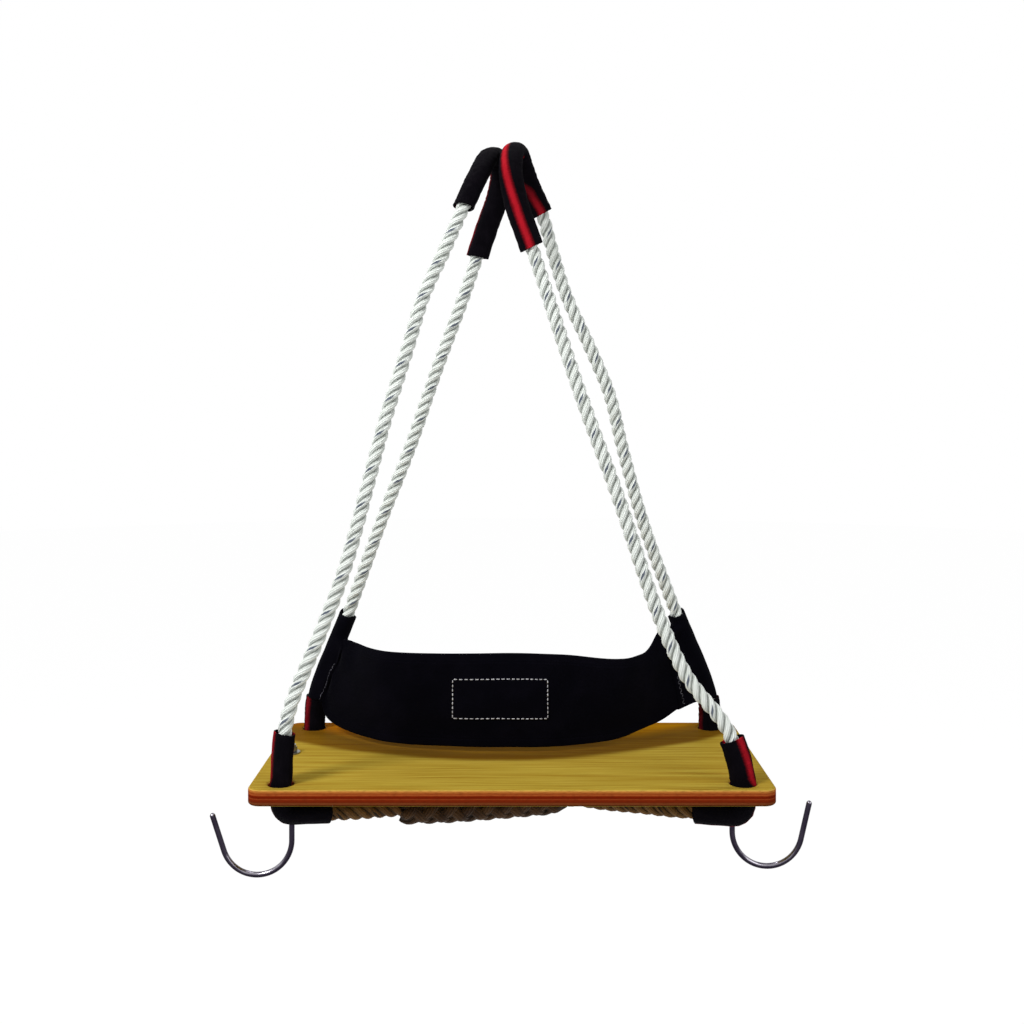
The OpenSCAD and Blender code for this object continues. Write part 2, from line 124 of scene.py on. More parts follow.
def spaced(start, end, count):
    """Values from start to end in even steps."""
    return [start + (end - start) * i / count for i in range(count + 1)]


def line_length(points):
    return sum((b - a).length for a, b in zip(points, points[1:]))


def between(spots, share, ease=smooth):
    """Value at a share of a length, eased from spot to spot."""
    for (a, low), (b, high) in zip(spots, spots[1:]):
        if share < b:
            return low + (high - low) * ease((share - a) / (b - a))
    return spots[-1][1]


def from_seat(points):
    return [Vector(p) + UP * SEAT_TOP for p in points]


def curve_point(p0, p1, p2, p3, share):
    """A point between p1 and p2 on a smooth curve with knots at the square roots of the distances."""
    t1 = math.sqrt((p1 - p0).length)
    t2 = t1 + math.sqrt((p2 - p1).length)
    t3 = t2 + math.sqrt((p3 - p2).length)
    t = t1 + (t2 - t1) * share

    def blend(a, b, ta, tb):
        return ((tb - t) * a + (t - ta) * b) / (tb - ta)

    a1, a2, a3 = blend(p0, p1, 0, t1), blend(p1, p2, t1, t2), blend(p2, p3, t2, t3)
    return blend(blend(a1, a2, 0, t2), blend(a2, a3, t1, t3), t1, t2)


def curve_at(points, i, share):
    first = points[i - 1] if i else 2 * points[0] - points[1]
    last = points[i + 2] if i + 2 < len(points) else 2 * points[-1] - points[-2]
    return curve_point(first, points[i], points[i + 1], last, share)


def curve(points, step=.001):
    line = []
    for i in range(len(points) - 1):
        count = max(1, math.ceil((points[i + 1] - points[i]).length / step))
        line += [curve_at(points, i, k / count) for k in range(count)]
    return line + [points[-1]]


class Route:
    """A line with its length, and a frame carried along it from one place."""

    def __init__(self, points, across, start=0):
        self.points = [p for i, p in enumerate(points) if i == 0 or (p - points[i - 1]).length > 1e-6]
        last = len(self.points) - 1
        self.ways = [(self.points[min(i + 1, last)] - self.points[max(i - 1, 0)]).normalized()
                     for i in range(last + 1)]
        self.marks = [0]
        for a, b in zip(self.points, self.points[1:]):
            self.marks.append(self.marks[-1] + (b - a).length)
        self.length = self.marks[-1]
        self.normals = [None] * (last + 1)
        for step, end in ((1, last + 1), (-1, -1)):
            normal = across
            for i in range(start, end, step):
                normal = (normal - normal.dot(self.ways[i]) * self.ways[i]).normalized()
                self.normals[i] = normal

    def frame(self, mark):
        """Point, way, normal and side at a distance along the line."""
        low = min(max(bisect_right(self.marks, mark) - 1, 0), len(self.marks) - 2)
        high = low + 1
        share = clip((mark - self.marks[low]) / (self.marks[high] - self.marks[low]))
        point = self.points[low].lerp(self.points[high], share)
        way = self.ways[low].lerp(self.ways[high], share).normalized()
        normal = self.normals[low].lerp(self.normals[high], share)
        normal = (normal - normal.dot(way) * way).normalized()
        return point, way, normal, way.cross(normal)

    def bow(self, mark, reach=.004):
        """How the line bends there: points to the inside, and is one over the radius long."""
        before, after = self.frame(max(0, mark - reach)), self.frame(min(self.length, mark + reach))
        return (after[1] - before[1]) / (2 * reach)

    def rising(self, height):
        """Distance along the line where it first climbs past a height."""
        for i, (a, b) in enumerate(zip(self.points, self.points[1:])):
            if a.z < height <= b.z:
                return self.marks[i] + (b - a).length * (height - a.z) / (b.z - a.z)

    def falling(self, height):
        """Distance along the line where it last drops past a height."""
        for i in range(len(self.points) - 2, -1, -1):
            a, b = self.points[i], self.points[i + 1]
            if b.z < height <= a.z:
                return self.marks[i] + (b - a).length * (a.z - height) / (a.z - b.z)


def hole(x, y):
    return Vector((x * HOLE_X, y * HOLE_Y, 0))


def run_point(x, y, far, depth):
    """A point under the board, on the diagonal from one hole to the opposite one."""
    way = (hole(-x, -y) - hole(x, y)).normalized()
    return hole(x, y) + way * far + UP * (SEAT_UNDER - depth)


def bend_far(angle):
    return BEND_R * (1 - math.cos(angle))


def bend_depth(angle):
    return BEND_DROP + BEND_R * math.sin(angle)


def run_on(x, y, far):
    """A point on the straight fall of the rope from its bend."""
    depth = RUN_DEPTH_LEFT if x < 0 else RUN_DEPTH_RIGHT
    out, deep = bend_far(BEND_TURN), bend_depth(BEND_TURN)
    fall = (depth - deep) / (RUN_STUB - out)
    return run_point(x, y, far, deep + (far - out) * fall)


def bend(x, y, count=24):
    steps = [run_on(x, y, RUN_STUB)]
    for k in range(count, 0, -1):
        angle = BEND_TURN * k / count
        steps.append(run_point(x, y, bend_far(angle), bend_depth(angle)))
    return steps


def hole_line(x, y):
    return [run_point(x, y, 0, BEND_DROP), hole(x, y) + UP * (SEAT_TOP + BEND_DROP)]


def side_route(x, front_leg, bight, rear_leg):
    """One side of the bridle, from under the front hole over the bight to under the rear hole."""
    above = hole_line(x, -1) + from_seat(front_leg) + [Vector(p) for p in bight]
    above += from_seat(rear_leg)[::-1] + hole_line(x, 1)[::-1]
    points = bend(x, -1) + curve(above) + bend(x, 1)[::-1]
    crown = max(range(len(points)), key=lambda i: points[i].z)
    return Route(points, BIGHT_AXIS, crown)


def run_end(x, y):
    return [run_on(x, y, far) for far in (RUN_STUB, RUN_STUB + BUTT_STEP)]


left_route = side_route(-1, FRONT_LEFT_LEG, LEFT_BIGHT, REAR_LEFT_LEG)
right_route = side_route(1, FRONT_RIGHT_LEG, RIGHT_BIGHT, REAR_RIGHT_LEG)
plain_points = curve(run_end(1, -1) + [run_point(1, -1, *q) for q in PLAIN_RUN] + run_end(-1, 1)[::-1])
splice_points = [run_point(-1, -1, SPLICE_START + share * SPLICE_LENGTH, depth) for share, depth in SPLICE_RUN]
splice_route = Route(curve(splice_points), UP)
first_way = (splice_points[1] - splice_points[0]).normalized()
last_way = (splice_points[-1] - splice_points[-2]).normalized()
lead_end = splice_points[0] + SPLICE_LIFT * (UP - UP.dot(first_way) * first_way).normalized()
lead_points = curve(run_end(-1, -1) + [lead_end - BUTT_STEP * first_way, lead_end])
tail_points = curve([splice_points[-1], splice_points[-1] + BUTT_STEP * last_way, run_point(1, 1, *TAIL_POINT)]
                    + run_end(1, 1)[::-1])

# The rope is one loop: from the splice through the left side, the plain run and the right side to the splice
loop_parts = [lead_points[::-1], left_route.points, plain_points[::-1], right_route.points, tail_points[::-1]]
loop = Route([p for part in loop_parts for p in part], UP)
part_ends = [0]
for part in loop_parts:
    part_ends.append(part_ends[-1] + line_length(part))


def lay_rings(bm, rings, place):
    """Lays a grid on rings of points, a row for each ring, and gives each corner its place on the maps."""
    rows, columns = len(rings) - 1, len(rings[0])
    verts = bmesh.ops.create_grid(bm, x_segments=columns, y_segments=rows, size=.5)["verts"]
    spots = {}
    for vert in verts:
        column, row = round((vert.co.x + .5) * columns), round((vert.co.y + .5) * rows)
        vert.co = rings[row][column % columns]
        spots[vert] = row, column
    layers = [bm.loops.layers.uv[name] for name in bm.loops.layers.uv.keys()]
    for face in {face for vert in verts for face in vert.link_faces}:
        for corner in face.loops:
            for layer, value in zip(layers, place(*spots[corner.vert])):
                corner[layer].uv = value
    bmesh.ops.remove_doubles(bm, verts=verts, dist=1e-7)


def new_mesh(*maps):
    bm = bmesh.new()
    for name in maps:
        bm.loops.layers.uv.new(name)
    return bm


def make_piece(name, bm, finish, stands_for=()):
    """The finished piece: closed, smooth, in its finish and riding on the chair."""
    open_edges = [edge for edge in bm.edges if edge.is_boundary]
    if open_edges:
        bmesh.ops.holes_fill(bm, edges=open_edges, sides=0)
    bmesh.ops.recalc_face_normals(bm, faces=bm.faces)
    mesh = bpy.data.meshes.new(name)
    bm.to_mesh(mesh)
    bm.free()
    mesh.materials.append(finish)
    mesh.shade_smooth()
    obj = add_object(name, mesh)
    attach(obj, "chair")
    if stands_for:
        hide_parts(*stands_for)
    return obj


class Nodes:
    """Short ways to add nodes to a tree."""

    def __init__(self, tree):
        self.tree = tree

    def node(self, kind, inputs, output=0, **settings):
        made = self.tree.nodes.new("ShaderNode" + kind)
        for name, value in settings.items():
            setattr(made, name, value)
        for key, value in inputs.items():
            self.feed(made.inputs[key], value)
        return made.outputs[output]

    def feed(self, socket, value):
        """Links a value to a socket or sets it there, a colour by its red, green and blue."""
        if isinstance(value, bpy.types.NodeSocket):
            self.tree.links.new(value, socket)
        else:
            socket.default_value = (*value, 1) if socket.type == "RGBA" else value

    def math(self, operation, *values):
        return self.node("Math", dict(enumerate(values)), operation=operation)

    def plus(self, a, b):
        return self.math("ADD", a, b)

    def minus(self, a, b):
        return self.math("SUBTRACT", a, b)

    def times(self, a, b):
        return self.math("MULTIPLY", a, b)

    def swing(self, value, reach):
        """A speckle's value made to swing about nought."""
        return self.times(self.minus(value, .5), reach)

    def scaled(self, *values):
        """A vector of values, each with its scale."""
        return self.node("CombineXYZ", {axis: self.times(*value) for axis, value in enumerate(values)})

    def mix(self, share, a, b, blend="MIX"):
        return self.node("Mix", {0: share, 6: a, 7: b}, 2, data_type="RGBA", blend_type=blend)

    def ease(self, value, low, high, to_low=0, to_high=1):
        return self.node("MapRange", {0: value, 1: low, 2: high, 3: to_low, 4: to_high},
                         interpolation_type="SMOOTHSTEP")

    def ramp(self, value, *stops):
        made = self.tree.nodes.new("ShaderNodeValToRGB")
        while len(made.color_ramp.elements) < len(stops):
            made.color_ramp.elements.new(.5)
        for element, (place, colour) in zip(made.color_ramp.elements, stops):
            element.position, element.color = place, (*colour, 1)
        self.feed(made.inputs[0], value)
        return made.outputs[0]

    def speckle(self, vector, scale, detail=3, rough=.55):
        return self.node("TexNoise", {"Vector": vector, "Scale": scale, "Detail": detail, "Roughness": rough})

    def map(self, name):
        return self.node("UVMap", {}, uv_map=name)

    def place(self, kind="Object"):
        return self.node("TexCoord", {}, kind)

    def parts(self, vector):
        return [self.node("SeparateXYZ", {0: vector}, axis) for axis in range(3)]

    def stretched(self, vector, scale):
        return self.node("Mapping", {"Vector": vector, "Scale": scale})

    def sine(self, value, per_turn):
        return self.math("SINE", self.times(value, TURN * per_turn))


class Finish(Nodes):
    """A material with its nodes."""

    def __init__(self, name, **sockets):
        self.material = bpy.data.materials.new(name)
        self.material.use_nodes = True
        super().__init__(self.material.node_tree)
        self.shader = self.tree.nodes["Principled BSDF"]
        for socket, value in sockets.items():
            self.paint(socket.replace("_", " "), value)

    def paint(self, socket, value):
        self.feed(self.shader.inputs[socket], value)

    def bump(self, height, strength, distance):
        self.paint("Normal", self.node("Bump", {"Height": height, "Strength": strength, "Distance": distance}))


SPLICE_STRANDS = 4  # number of the splice's first strand: the rope's own are 0 to 2


def rope_finish():
    """Off-white laid rope: painted shade in its grooves, fine yarns, one blue marker yarn; soil and painted shade
    under the board.
    """
    f = Finish("rope", Specular_IOR_Level=.12, Sheen_Weight=.04, Sheen_Roughness=.6)
    around, along, _ = f.parts(f.map("strand"))
    yarn, strand, _ = f.parts(f.map("yarn"))
    place = f.place()
    crest = f.math("COSINE", f.times(around, TURN))
    # Painted shade: each strand darkens towards the grooves where it meets the others
    body = f.mix(f.ease(crest, -.1, .95), (.28, .305, .28), (.89, .935, .89))
    blotch = f.speckle(place, 45, 3)
    body = f.mix(f.ease(blotch, .42, .8, 0, .4), body, (.56, .6, .54))
    yarns = f.sine(f.plus(around, f.times(along, 8)), 10)
    # Painted shade: thin dark lines in the gaps between the yarns
    body = f.mix(f.ease(yarns, -1, .1, .5, 0), body, (.33, .355, .32))
    fibre = f.speckle(f.scaled((yarn, 22), (along, 60), (strand, 1)), 1, 1)
    body = f.mix(f.ease(fibre, .4, .75, 0, .3), body, (.94, .97, .945))
    off = f.math("ABSOLUTE", f.minus(f.math("FRACT", yarn), .5))
    marker = f.times(f.ease(off, .1, .06), f.math("LESS_THAN", strand, .5))
    marker = f.times(marker, f.ease(crest, .89, .97))
    body = f.mix(f.times(marker, .92), body, (.045, .06, .105))
    # Under the board the rope is browned, partly soil and partly painted shade; the splice, deeper in shade, is
    # darkest as painted shade
    under = f.ease(f.parts(place)[2], SEAT_UNDER - .006, SEAT_UNDER + .004, 1, 0)
    patches = f.ease(blotch, .3, .7)
    soil_and_shade = f.mix(patches, (.13, .056, .015), (.235, .115, .036))
    splice_soil_and_shade = f.mix(patches, (.036, .0135, .0032), (.092, .04, .012))
    soil_and_shade = f.mix(f.math("GREATER_THAN", strand, SPLICE_STRANDS - .5), soil_and_shade, splice_soil_and_shade)
    f.paint("Base Color", f.mix(under, body, f.mix(1, body, soil_and_shade, "MULTIPLY")))
    f.paint("Roughness", f.ease(fibre, .3, .8, .6, .78))
    f.bump(f.plus(f.times(yarns, .8), f.times(fibre, .5)), .6, .0006)
    return f.material


def webbing_finish():
    """Black tubular webbing with a red stripe, in a fine ribbed weave."""
    f = Finish("webbing", Specular_IOR_Level=.03)
    around, along, _ = f.parts(f.map("webbing"))
    off, dull, _ = f.parts(f.map("stripe"))
    jitter = f.speckle(f.scaled((around, 9), (along, 700)), 1, 2)
    off = f.plus(off, f.swing(jitter, .0022))
    stripe = f.ease(off, .006, .0048)
    core = f.ease(off, .0052, .0008)
    weave = f.times(f.sine(around, 62), f.sine(along, 620))
    worn = f.speckle(f.place(), 60, 4)
    black = f.mix(f.ease(worn, .4, .8), (.0022, .0016, .0032), (.0062, .0048, .0075))
    red = f.mix(core, (.075, .002, .005), (.56, .012, .025))
    red = f.mix(f.ease(worn, .45, .85, 0, .55), red, (.2, .004, .009))
    # Painted shade: dull darkens the red stripe where the sleeve lies in shade
    red = f.mix(dull, red, (.035, .0022, .0045))
    body = f.mix(stripe, black, red)
    # Painted shade in the low places of the weave
    f.paint("Base Color", f.mix(f.ease(weave, -1, .3, .55, 0), body, (.0015, .0011, .002)))
    f.paint("Roughness", f.ease(worn, .3, .8, .75, .92))
    f.bump(weave, .7, .0006)
    return f.material


def canvas_finish():
    """Black canvas of the strap and its pockets: plain weave, a little lint and softly worn."""
    f = Finish("canvas", Specular_IOR_Level=.02, Sheen_Weight=.008, Sheen_Roughness=.45)
    along, up, _ = f.parts(f.map("cloth"))
    weave = f.times(f.sine(along, 900), f.sine(up, 900))
    worn = f.speckle(f.place(), 24, 5, .6)
    lint = f.speckle(f.stretched(f.place(), (420, 420, 420)), 1, 2)
    body = f.mix(f.ease(worn, .38, .75), (.0011, .001, .0026), (.0028, .0024, .005))
    body = f.mix(f.ease(lint, .7, .85, 0, .4), body, (.014, .013, .019))
    # Painted shade in the low places of the weave
    f.paint("Base Color", f.mix(f.ease(weave, -1, 0, .55, 0), body, (.0008, .0007, .0014)))
    f.paint("Roughness", f.ease(worn, .3, .8, .8, .95))
    f.bump(weave, .5, .0004)
    return f.material


def thread_finish(name, pulled_in, proud):
    """Sewing thread, twisted, and darker in random patches."""
    f = Finish(name, Specular_IOR_Level=.25, Sheen_Weight=.1, Sheen_Roughness=.5)
    twist = f.sine(f.plus(*f.parts(f.stretched(f.place(), (700, 700, 700)))[:2]), .5)
    dirt = f.speckle(f.place(), 160, 2)
    f.paint("Base Color", f.mix(f.ease(dirt, .3, .75), pulled_in, proud))
    f.paint("Roughness", f.ease(dirt, .3, .8, .6, .8))
    f.bump(twist, .4, .0002)
    return f.material


# Shades of the veneer by its grain, and of the board's plies from its underside up
VENEER = ((.3, (.265, .15, .014)), (.46, (.353, .236, .027)), (.58, (.4, .286, .038)), (.78, (.49, .357, .062)))
PLIES = ((0, (.046, .0088, .0024)), (.09, (.058, .011, .0036)), (.13, (.15, .037, .011)),
         (.22, (.169, .043, .012)), (.27, (.13, .015, .0036)), (.4, (.189, .019, .0036)),
         (.46, (.26, .05, .013)), (.5, (.137, .0088, .0014)), (.62, (.182, .015, .0024)),
         (.66, (.351, .075, .017)), (.72, (.338, .075, .017)), (.76, (.273, .05, .0084)),
         (.83, (.416, .125, .026)), (.9, (.494, .188, .036)), (.94, (.6, .375, .078)), (1, (.6, .4, .096)))
# Painted light and shade of the hooks' rod, from the side that faces down to the one that faces up
ROD_LIGHT_AND_SHADE = ((.05, (.005, .003, .008)), (.55, (.015, .011, .022)), (.74, (.045, .038, .056)), (.84, (.25, .235, .275)),
       (.9, (.34, .325, .36)), (.97, (.07, .06, .085)))


def plywood_finish():
    """Varnished plywood: honey veneer with grain along the board, and red-brown plies on the edges."""
    f = Finish("plywood", Specular_IOR_Level=.0008)
    place = f.place()
    x, y, z = f.parts(place)
    facing = f.math("ABSOLUTE", f.parts(f.place("Normal"))[2])
    sway = f.speckle(f.stretched(place, (5, 16, 0)), 1, 2)
    drift = f.plus(y, f.times(sway, .012))
    grain = f.speckle(f.scaled((x, 7), (drift, 300), (z, 40)), 1, 4, .6)
    band = f.speckle(f.scaled((x, 2.2), (drift, 46)), 1, 2)
    pores = f.speckle(f.scaled((x, 60), (y, 1600)), 1, 2)
    veneer = f.ramp(grain, *VENEER)
    veneer = f.mix(f.ease(band, .5, .68, 0, .6), veneer, (.285, .165, .014))
    veneer = f.mix(f.ease(pores, .6, .8, 0, .45), veneer, (.17, .085, .007))
    veneer = f.mix(f.ease(f.math("ABSOLUTE", x), .2, .275, 0, .35), veneer, (.36, .226, .024))
    # Painted shade of the strap: the top is darkened and browned under the arc of its foot and behind it
    arc = f.times(f.math("POWER", f.math("ABSOLUTE", f.plus(x, .02)), 2), 1.27)
    past_foot = f.minus(f.plus(y, f.swing(sway, .016)), arc)
    behind = f.mix(f.ease(x, -.2, .16), (.78, .36, 0), (.9, .55, 0))
    strap_shadow_tint = f.mix(f.ease(past_foot, .012, .05), (.33, .17, .02), behind)
    strap_shadow_mask = f.times(f.ease(past_foot, -.034, -.018), f.ease(past_foot, .012, .05, .84, .96))
    strap_shadow_mask = f.times(strap_shadow_mask, f.ease(z, SEAT_UNDER + .008, SEAT_UNDER + .012))
    veneer = f.mix(strap_shadow_mask, veneer, f.mix(1, veneer, strap_shadow_tint, "MULTIPLY"))
    wobble = f.speckle(f.stretched(place, (9, 9, 0)), 1, 2)
    ply = f.math("DIVIDE", f.plus(f.minus(z, SEAT_UNDER), f.swing(wobble, .0007)), SEAT_TOP - SEAT_UNDER)
    layers = f.ramp(ply, *PLIES)
    fuzz = f.speckle(f.scaled((x, 160), (y, 160), (z, 900)), 1, 3)
    layers = f.mix(f.ease(fuzz, .4, .75, 0, .4), layers, (.07, .01, .003))
    f.paint("Base Color", f.mix(f.ease(facing, .55, .9), layers, veneer))
    f.paint("Roughness", f.plus(f.ease(grain, .3, .75, .36, .46), f.ease(facing, .3, .9, .16, 0)))
    f.bump(f.plus(grain, f.times(pores, .6)), .12, .0004)
    return f.material


def zinc_finish():
    """Zinc-plated steel of the nuts and washers, with rubbed and dull places."""
    f = Finish("zinc_steel", Metallic=1, Specular_IOR_Level=.5)
    place = f.place()
    dark, light = (.17, .18, .17), (.38, .39, .37)
    cloud = f.speckle(place, 70, 4)
    scratch = f.speckle(f.stretched(place, (900, 900, 120)), 1, 3)
    shade = f.mix(f.ease(cloud, .3, .75), dark, light)
    f.paint("Base Color", f.mix(f.ease(scratch, .6, .8, 0, .35), shade, dark))
    f.paint("Roughness", f.plus(f.ease(cloud, .3, .8, .3, .5), f.ease(scratch, .5, .85, 0, .1)))
    f.bump(scratch, .08, .0002)
    return f.material


def rod_finish():
    """Dark bent rod, with painted shade on the side that faces down and a painted highlight along its upper
    flank.
    """
    f = Finish("hook_steel", Metallic=1, Specular_IOR_Level=.5)
    _, y, z = f.parts(f.place("Normal"))
    cloud = f.speckle(f.place(), 90, 4)
    # Painted light and shade by the way each face points
    lit = f.plus(f.plus(f.times(z, .75), f.times(y, -.2)), f.swing(cloud, .4))
    f.paint("Base Color", f.ramp(f.ease(lit, -1, 1), *ROD_LIGHT_AND_SHADE))
    f.paint("Roughness", f.ease(cloud, .3, .8, .16, .34))
    return f.material


ROPE = rope_finish()
WEBBING = webbing_finish()
CANVAS = canvas_finish()
THREAD = thread_finish("white_thread", (.4, .4, .43), (.66, .66, .68))
WORN_THREAD = thread_finish("worn_thread", (.012, .012, .016), (.16, .16, .19))
PLYWOOD = plywood_finish()
HOOK_STEEL = rod_finish()
ZINC = zinc_finish()

# Laid rope: three strands in a right-hand lay, each a little flattened where it bears on the others
LAY = .04
STRAND_AT, STRAND_DEEP, STRAND_WIDE = .0038, .0042, .00385
STRAND_SIDES, RINGS_PER_LAY, STRAND_SLACK = 12, 16, .03
MARKER_TURN = .04
FRONT_STEP, PATH_STEP = .0025, .004


def strand_ring(centre, out, side, deep, wide):
    return [centre + out * (deep * x) + side * (wide * y) for x, y in circle(STRAND_SIDES)]


def strand_side(way, out, at, pitch):
    """Way across a strand that turns to the right round a line, or to the left if its pitch is below nought."""
    return (way + way.cross(out) * (TURN * at / pitch)).cross(out).normalized()


def strand_out(mark, number):
    """Way from the rope's middle line to one of its strands."""
    _, _, normal, across = loop.frame(mark)
    turn = TURN * (mark / LAY + number / 3)
    return normal * math.cos(turn) + across * math.sin(turn)


def turn_in(vector, normal, side):
    return math.atan2(vector.dot(side), vector.dot(normal)) / TURN


def front_turns():
    """Direction of the chair's front from the rope's middle line, in turns, carried on without jumps."""
    turns = []
    front = Vector((0, -1, 0))
    for i in range(math.ceil(loop.length / FRONT_STEP) + 1):
        _, way, normal, across = loop.frame(min(loop.length, i * FRONT_STEP))
        turn = turn_in(front - front.dot(way) * way, normal, across)
        turns.append(turn + round(turns[-1] - turn) if turns else turn)
    return turns


FRONT_TURNS = front_turns()


def yarn_turn(mark):
    """Turn of the yarns within the strands: they run nearly along the rope, the marker yarn on its front."""
    place = mark / FRONT_STEP
    i = min(int(place), len(FRONT_TURNS) - 2)
    front = FRONT_TURNS[i] + (FRONT_TURNS[i + 1] - FRONT_TURNS[i]) * (place - i)
    return mark / LAY - front + .5 + MARKER_TURN


def add_rope_strand(bm, number, start, end):
    count = round((end - start) / LAY * RINGS_PER_LAY)
    marks = spaced(start, end, count)
    rings = []
    for mark in marks:
        centre, way, _, _ = loop.frame(mark)
        out = strand_out(mark, number)
        slack = 1 + STRAND_SLACK * uneven(mark * 40, number * 7.3, .5)
        rings.append(strand_ring(centre + out * STRAND_AT, out, strand_side(way, out, STRAND_AT, LAY),
                                 STRAND_DEEP * slack, STRAND_WIDE * slack))

    def place(row, column):
        around = column / STRAND_SIDES
        return (around, marks[row]), (around + yarn_turn(marks[row]) + number / 3, number)

    lay_rings(bm, rings, place)


def tell_cord(route, start, end, steps):
    path = [route.frame(mark)[0] for mark in spaced(start, end, steps)]
    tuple(path[0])


def add_rope(name, start, end, stands_for):
    bm = new_mesh("strand", "yarn")
    for number in range(3):
        add_rope_strand(bm, number, start, end)
    rope = make_piece(name, bm, ROPE, stands_for)
    tell_cord(loop, start, end, round((end - start) / PATH_STEP))
    return rope


rope_left = add_rope("rope_left_side", part_ends[0], part_ends[2], ["rope_left", "rope_under_spliced"])
add_rope("rope_plain_run", part_ends[2], part_ends[3], ["rope_under"])
rope_right = add_rope("rope_right_side", part_ends[3], part_ends[5], ["rope_right", "rope_under_spliced"])

# Short splice: the rope's own strands open out, and three tucked strands pass over and under them
SPLICE_PITCH, SPLICE_YARN_PITCH = .07, .04
SPLICE_AT, SPLICE_SWING, SPLICE_DEEP, SPLICE_WIDE = .0086, .0013, .0042, .0061
SPLICE_HEART, HEART_RINGS = .0098, 60
SPLICE_RING, SPLICE_PATH_STEPS, SPLICE_LONG = .0018, 44, .221
SPLICE_TAPER = [(0, .92), (.3, 1), (.62, 1), (.85, .9), (1, .66)]
TUCKS = (.012, .93), (.015, .86), (.018, .97)
TUCK_IN, TUCK_BUTT, TUCK_OUT, TUCK_TIP = .02, .8, .05, .35
OPENED_BY, CLOSES_OVER, LIFTED_OVER = .05, .16, .16
HEART_FROM, HEART_TO, HEART_SHADE = .014, .95, .34


def splice_scale(share):
    return between(SPLICE_TAPER, share, clip)


def meeting_turn(splice_mark, loop_mark):
    """Turn of the rope's first strand in the splice's frame, where the two meet."""
    _, _, normal, across = splice_route.frame(splice_mark)
    return turn_in(strand_out(loop_mark, 0), normal, across)


splice_end = splice_route.length
opening_turn = meeting_turn(0, 0)
closing_turn = meeting_turn(splice_end, loop.length)
free_turns = splice_end / SPLICE_PITCH
own_turns = closing_turn - opening_turn + round((free_turns - closing_turn + opening_turn) * 3) / 3


def add_splice_strand(bm, number, tucked, start, end):
    count = round((end - start) * splice_end / SPLICE_RING)
    sense = -1 if tucked else 1
    pitch = sense * splice_end / abs(own_turns)
    rings, marks = [], []
    for share in spaced(start, end, count):
        mark = share * splice_end
        centre, way, normal, across = splice_route.frame(mark)
        turn = opening_turn + number / 3 + sense * own_turns * share
        out = normal * math.cos(TURN * turn) + across * math.sin(TURN * turn)
        swing = sense * SPLICE_SWING * math.cos(TURN * 3 * (turn - opening_turn))
        scale = splice_scale(share)
        at, deep, wide = (SPLICE_AT + swing) * scale, SPLICE_DEEP * scale, SPLICE_WIDE * scale
        if tucked:
            shut = smooth(min((share - start) / TUCK_IN + TUCK_BUTT, (end - share) / TUCK_OUT + TUCK_TIP))
            deep, wide = deep * shut, wide * shut
        else:
            opened = smooth(share / OPENED_BY) * smooth((1 - share) / CLOSES_OVER)
            at = STRAND_AT + (at - STRAND_AT) * opened
            deep = STRAND_DEEP + (deep - STRAND_DEEP) * opened
            wide = STRAND_WIDE + (wide - STRAND_WIDE) * opened
            centre = centre + UP * (SPLICE_LIFT * (1 - smooth(share / LIFTED_OVER)))
        rings.append(strand_ring(centre + out * at, out, strand_side(way, out, at, pitch), deep, wide))
        marks.append(mark)

    def place(row, column):
        around = column / STRAND_SIDES
        return (around, marks[row]), (around + sense * marks[row] / SPLICE_YARN_PITCH, number + SPLICE_STRANDS)

    lay_rings(bm, rings, place)


def add_splice_heart(bm):
    """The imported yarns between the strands, which close the splice."""
    rings = []
    for i, share in enumerate(spaced(HEART_FROM, HEART_TO, HEART_RINGS)):
        centre, _, normal, across = splice_route.frame(share * splice_end)
        size = SPLICE_HEART * splice_scale(share) * min(1, .8 + i * .1, .5 + (HEART_RINGS - i) * .04)
        rings.append(strand_ring(centre, normal, across, size, size))
    # The heart sits at the grooves' place on the strand map, so it takes their painted shade
    lay_rings(bm, rings, lambda row, column: ((HEART_SHADE, row / HEART_RINGS),
                                              (column / STRAND_SIDES * 3, SPLICE_STRANDS)))


def add_splice():
    bm = new_mesh("strand", "yarn")
    for number in range(3):
        add_splice_strand(bm, number, False, 0, 1)
    for number, (start, end) in enumerate(TUCKS):
        add_splice_strand(bm, number, True, start, end)
    add_splice_heart(bm)
    splice = make_piece("rope_short_splice", bm, ROPE, ["rope_splice"])
    tell_cord(splice_route, 0, splice_end, SPLICE_PATH_STEPS)


add_splice()

# Chafe sleeves of tubular webbing: an oval tube with the fold of the flat tube along its two edges
SLEEVE_SIDES, SLEEVE_STEP = 40, .002
SLEEVE_CREASE, CREASE_FROM = .0006, .86
PUCKER_PITCH, PUCKER_RISE, PUCKER_MOST, PUCKER_SKEW = .0065, 2.4e-5, .0009, .6
SLANT_REACH, SLEEVE_UNEVEN, SLEEVE_FRAY, SLEEVE_RIM = .02, .0006, .0005, .0015
SLEEVE_LIPS = {0: .0007, .0004: .0002, .9996: .0002, 1: .0007}
SLEEVE_FOOT = RUN_STUB - SLEEVE_REACH
BIGHT_SHORT_END, BIGHT_LONG_END = -.053, -.101
FRONT_LEFT_TOP, FRONT_RIGHT_TOP, REAR_TOP = SEAT_TOP + .053, SEAT_TOP + .046, SEAT_TOP + .038


